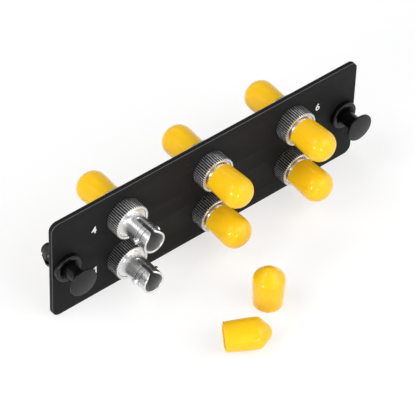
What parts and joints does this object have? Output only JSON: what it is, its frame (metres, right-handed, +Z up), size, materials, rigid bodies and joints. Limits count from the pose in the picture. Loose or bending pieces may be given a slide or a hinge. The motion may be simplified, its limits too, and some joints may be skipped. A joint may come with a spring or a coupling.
{
  "type": "fibre adapter panel",
  "caption": "Flat black metal panel with two rows of round bayonet fibre adapters, knurled nuts, yellow dust caps and a push-pull latch at each end.",
  "frame": {"origin": "middle of the plate's rear face, halfway between the two latches", "axes": "+X along the plate to the right seen from the front, +Y out of the rear face into the enclosure, +Z up"},
  "size_m": [0.109, 0.0636, 0.035],
  "materials": {
    "black_powder_coated_steel": "fine satin powder coat",
    "bright_nickel_plate": "bright nickel plate on turned metal",
    "white_zirconia": "ground ceramic",
    "yellow_vinyl": "soft satin vinyl",
    "black_nylon": "moulded satin"
  },
  "bodies": {
    "panel": {"panel_plate": "black_powder_coated_steel", "front_housing_1": "bright_nickel_plate", "rear_housing_1": "bright_nickel_plate", "alignment_sleeve_1": "white_zirconia", "knurled_nut_1": "bright_nickel_plate", "front_housing_2": "bright_nickel_plate", "rear_housing_2": "bright_nickel_plate", "alignment_sleeve_2": "white_zirconia", "knurled_nut_2": "bright_nickel_plate", "front_housing_3": "bright_nickel_plate", "rear_housing_3": "bright_nickel_plate", "alignment_sleeve_3": "white_zirconia", "knurled_nut_3": "bright_nickel_plate", "front_housing_4": "bright_nickel_plate", "rear_housing_4": "bright_nickel_plate", "alignment_sleeve_4": "white_zirconia", "knurled_nut_4": "bright_nickel_plate", "front_housing_5": "bright_nickel_plate", "rear_housing_5": "bright_nickel_plate", "alignment_sleeve_5": "white_zirconia", "knurled_nut_5": "bright_nickel_plate", "front_housing_6": "bright_nickel_plate", "rear_housing_6": "bright_nickel_plate", "alignment_sleeve_6": "white_zirconia", "knurled_nut_6": "bright_nickel_plate", "loose_cap_standing": "yellow_vinyl", "loose_cap_lying": "yellow_vinyl", "left_latch_grommet": "black_nylon", "right_latch_grommet": "black_nylon"},
    "front_cap_2": {"front_cap_2": "yellow_vinyl"},
    "front_cap_3": {"front_cap_3": "yellow_vinyl"},
    "front_cap_5": {"front_cap_5": "yellow_vinyl"},
    "front_cap_6": {"front_cap_6": "yellow_vinyl"},
    "rear_cap_1": {"rear_cap_1": "yellow_vinyl"},
    "rear_cap_2": {"rear_cap_2": "yellow_vinyl"},
    "rear_cap_3": {"rear_cap_3": "yellow_vinyl"},
    "rear_cap_4": {"rear_cap_4": "yellow_vinyl"},
    "rear_cap_5": {"rear_cap_5": "yellow_vinyl"},
    "rear_cap_6": {"rear_cap_6": "yellow_vinyl"},
    "left_latch_plunger": {"left_latch_plunger": "black_nylon"},
    "right_latch_plunger": {"right_latch_plunger": "black_nylon"}
  },
  "joints": [
    {"name": "front_cap_2_pull", "type": "slide", "parent": "panel", "child": "front_cap_2", "axis": [0, -1, 0], "range_m": [0, 0.011]},
    {"name": "front_cap_3_pull", "type": "slide", "parent": "panel", "child": "front_cap_3", "axis": [0, -1, 0], "range_m": [0, 0.012]},
    {"name": "front_cap_5_pull", "type": "slide", "parent": "panel", "child": "front_cap_5", "axis": [0, -1, 0], "range_m": [0, 0.012]},
    {"name": "front_cap_6_pull", "type": "slide", "parent": "panel", "child": "front_cap_6", "axis": [0, -1, 0], "range_m": [0, 0.012]},
    {"name": "rear_cap_1_pull", "type": "slide", "parent": "panel", "child": "rear_cap_1", "axis": [0, 1, 0], "range_m": [0, 0.012]},
    {"name": "rear_cap_2_pull", "type": "slide", "parent": "panel", "child": "rear_cap_2", "axis": [0, 1, 0], "range_m": [0, 0.012]},
    {"name": "rear_cap_3_pull", "type": "slide", "parent": "panel", "child": "rear_cap_3", "axis": [0, 1, 0], "range_m": [0, 0.012]},
    {"name": "rear_cap_4_pull", "type": "slide", "parent": "panel", "child": "rear_cap_4", "axis": [0, 1, 0], "range_m": [0, 0.012]},
    {"name": "rear_cap_5_pull", "type": "slide", "parent": "panel", "child": "rear_cap_5", "axis": [0, 1, 0], "range_m": [0, 0.012]},
    {"name": "rear_cap_6_pull", "type": "slide", "parent": "panel", "child": "rear_cap_6", "axis": [0, 1, 0], "range_m": [0, 0.012]},
    {"name": "left_latch_push", "type": "slide", "parent": "panel", "child": "left_latch_plunger", "axis": [0, 1, 0], "range_m": [0, 0.004]},
    {"name": "right_latch_push", "type": "slide", "parent": "panel", "child": "right_latch_plunger", "axis": [0, 1, 0], "range_m": [0, 0.004]}
  ]
}
